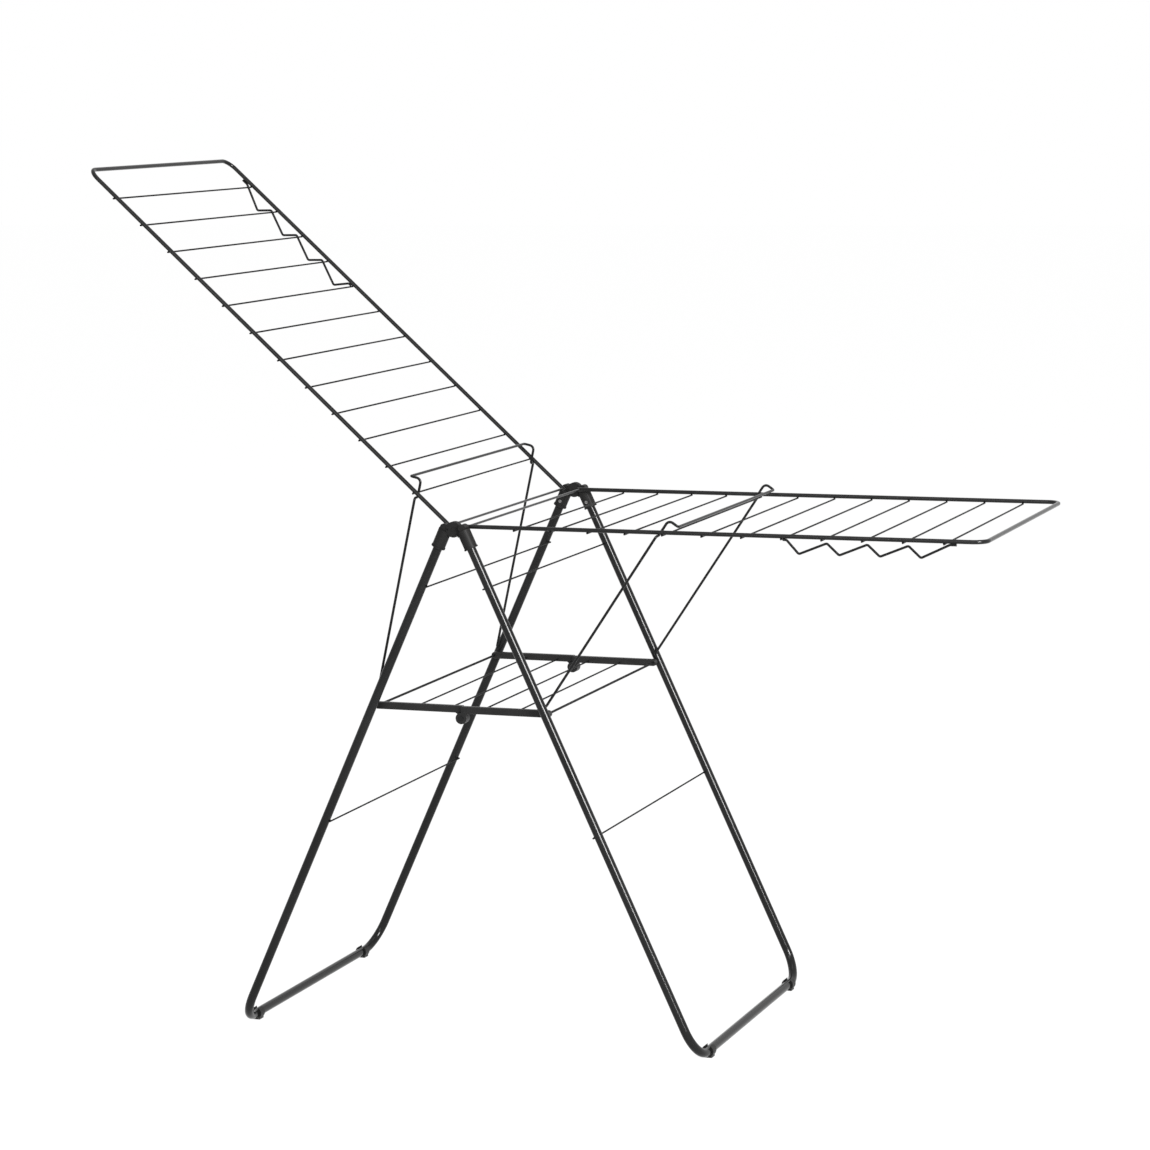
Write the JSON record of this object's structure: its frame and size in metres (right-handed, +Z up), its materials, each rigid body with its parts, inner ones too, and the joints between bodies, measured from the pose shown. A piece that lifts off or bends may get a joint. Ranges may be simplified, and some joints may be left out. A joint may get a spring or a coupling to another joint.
{
  "type": "folding clothes drying rack",
  "caption": "Folding winged clothes airer: hinged tube legs, wire drying wings held by wire props, folding shelf brace.",
  "frame": {"origin": "on the floor under the middle of the whole rack's bounding box, standing open with the right wing flat and the left wing raised", "axes": "+Z up, +X towards the tip of the flat right wing, the front of the rack faces -Y"},
  "size_m": [1.5439, 0.6022, 1.4541],
  "materials": {
    "black_steel": "glossy black powder coat",
    "dark_plastic": "satin moulded, dark grey",
    "zinc_steel": "bright zinc plate"
  },
  "bodies": {
    "stand": {"right_leg_tube": "black_steel", "right_upper_leg_line": "black_steel", "right_lower_leg_line": "black_steel", "right_front_foot_cap": "dark_plastic", "right_back_foot_cap": "dark_plastic", "right_front_hinge": "dark_plastic", "right_back_hinge": "dark_plastic", "hinge_rivets": "dark_plastic", "right_socket_screws": "zinc_steel"},
    "left_frame": {"left_leg_tube": "black_steel", "left_upper_leg_line": "black_steel", "left_lower_leg_line": "black_steel", "left_front_foot_cap": "dark_plastic", "left_back_foot_cap": "dark_plastic", "left_front_hinge": "dark_plastic", "left_back_hinge": "dark_plastic", "left_socket_screws": "zinc_steel"},
    "right_wing": {"right_wing_frame": "black_steel", "right_wing_pivot_bar": "black_steel", "right_wing_lines": "black_steel", "right_hanger": "black_steel"},
    "left_wing": {"left_wing_frame": "black_steel", "left_wing_pivot_bar": "black_steel", "left_wing_lines": "black_steel", "left_hanger": "black_steel"},
    "right_prop": {"right_prop": "black_steel"},
    "left_prop": {"left_prop": "black_steel"},
    "right_shelf": {"right_front_side_bar": "dark_plastic", "right_back_side_bar": "dark_plastic", "right_shelf_rod": "black_steel", "right_shelf_lines": "black_steel", "right_rod_spacers": "dark_plastic", "knuckle_pins": "black_steel"},
    "left_shelf": {"left_front_side_bar": "dark_plastic", "left_back_side_bar": "dark_plastic", "left_shelf_rod": "black_steel", "left_shelf_lines": "black_steel", "left_rod_spacers": "dark_plastic"}
  },
  "joints": [
    {"name": "frame_fold", "type": "hinge", "parent": "stand", "child": "left_frame", "pos_m": [-0.11254, 0, 0.866], "axis": [0, -1, 0], "range_deg": [0, 48]},
    {"name": "right_wing_fold", "type": "hinge", "parent": "stand", "child": "right_wing", "pos_m": [-0.09554, 0, 0.869], "axis": [0, 1, 0], "range_deg": [0, 62]},
    {"name": "left_wing_fold", "type": "hinge", "parent": "left_frame", "child": "left_wing", "pos_m": [-0.12954, 0, 0.869], "axis": [0, -1, 0], "range_deg": [0, 104.31]},
    {"name": "right_prop_swing", "type": "hinge", "parent": "right_wing", "child": "right_prop", "pos_m": [0.23946, 0, 0.86405], "axis": [0, -1, 0], "range_deg": [0, 123.73]},
    {"name": "left_prop_swing", "type": "hinge", "parent": "left_wing", "child": "left_prop", "pos_m": [-0.19277, 0, 0.91987], "axis": [0, 1, 0], "range_deg": [0, 119.37]},
    {"name": "right_shelf_fold", "type": "hinge", "parent": "stand", "child": "right_shelf", "pos_m": [0.03893, 0, 0.56471], "axis": [0, 1, 0], "range_deg": [0, 65.32]},
    {"name": "left_shelf_fold", "type": "hinge", "parent": "right_shelf", "child": "left_shelf", "pos_m": [-0.11254, 0, 0.55071], "axis": [0, -1, 0], "range_deg": [0, 178.63]}
  ],
  "couplings": [
    {"joint": "right_prop_swing", "follows": "right_wing_fold", "ratio": 1.9955},
    {"joint": "left_prop_swing", "follows": "left_wing_fold", "ratio": 1.1442},
    {"joint": "right_shelf_fold", "follows": "frame_fold", "ratio": 1.3606},
    {"joint": "left_shelf_fold", "follows": "frame_fold", "ratio": 3.7212}
  ]
}
